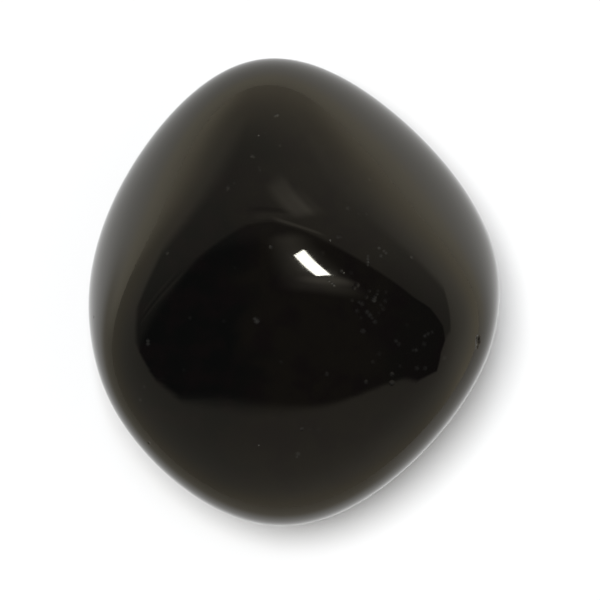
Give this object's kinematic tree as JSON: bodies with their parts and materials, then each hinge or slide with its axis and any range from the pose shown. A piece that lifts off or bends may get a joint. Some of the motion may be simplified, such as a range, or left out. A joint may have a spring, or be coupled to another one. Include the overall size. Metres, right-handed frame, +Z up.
{
  "type": "tumbled obsidian pebble",
  "caption": "Small black volcanic glass pebble with tumbled, rounded faces, one pointed end, a glossy polish and a small flat underside to rest on.",
  "frame": {"origin": "centre of the bounding box at its base, on the plane of the resting flat", "axes": "+Y along the longest extent towards the pointed end, +Z up from the resting flat along the shortest extent, +X across"},
  "size_m": [0.0264, 0.03, 0.0174],
  "materials": {
    "obsidian": "polished"
  },
  "bodies": {
    "root": {"stone": "obsidian"}
  },
  "joints": []
}
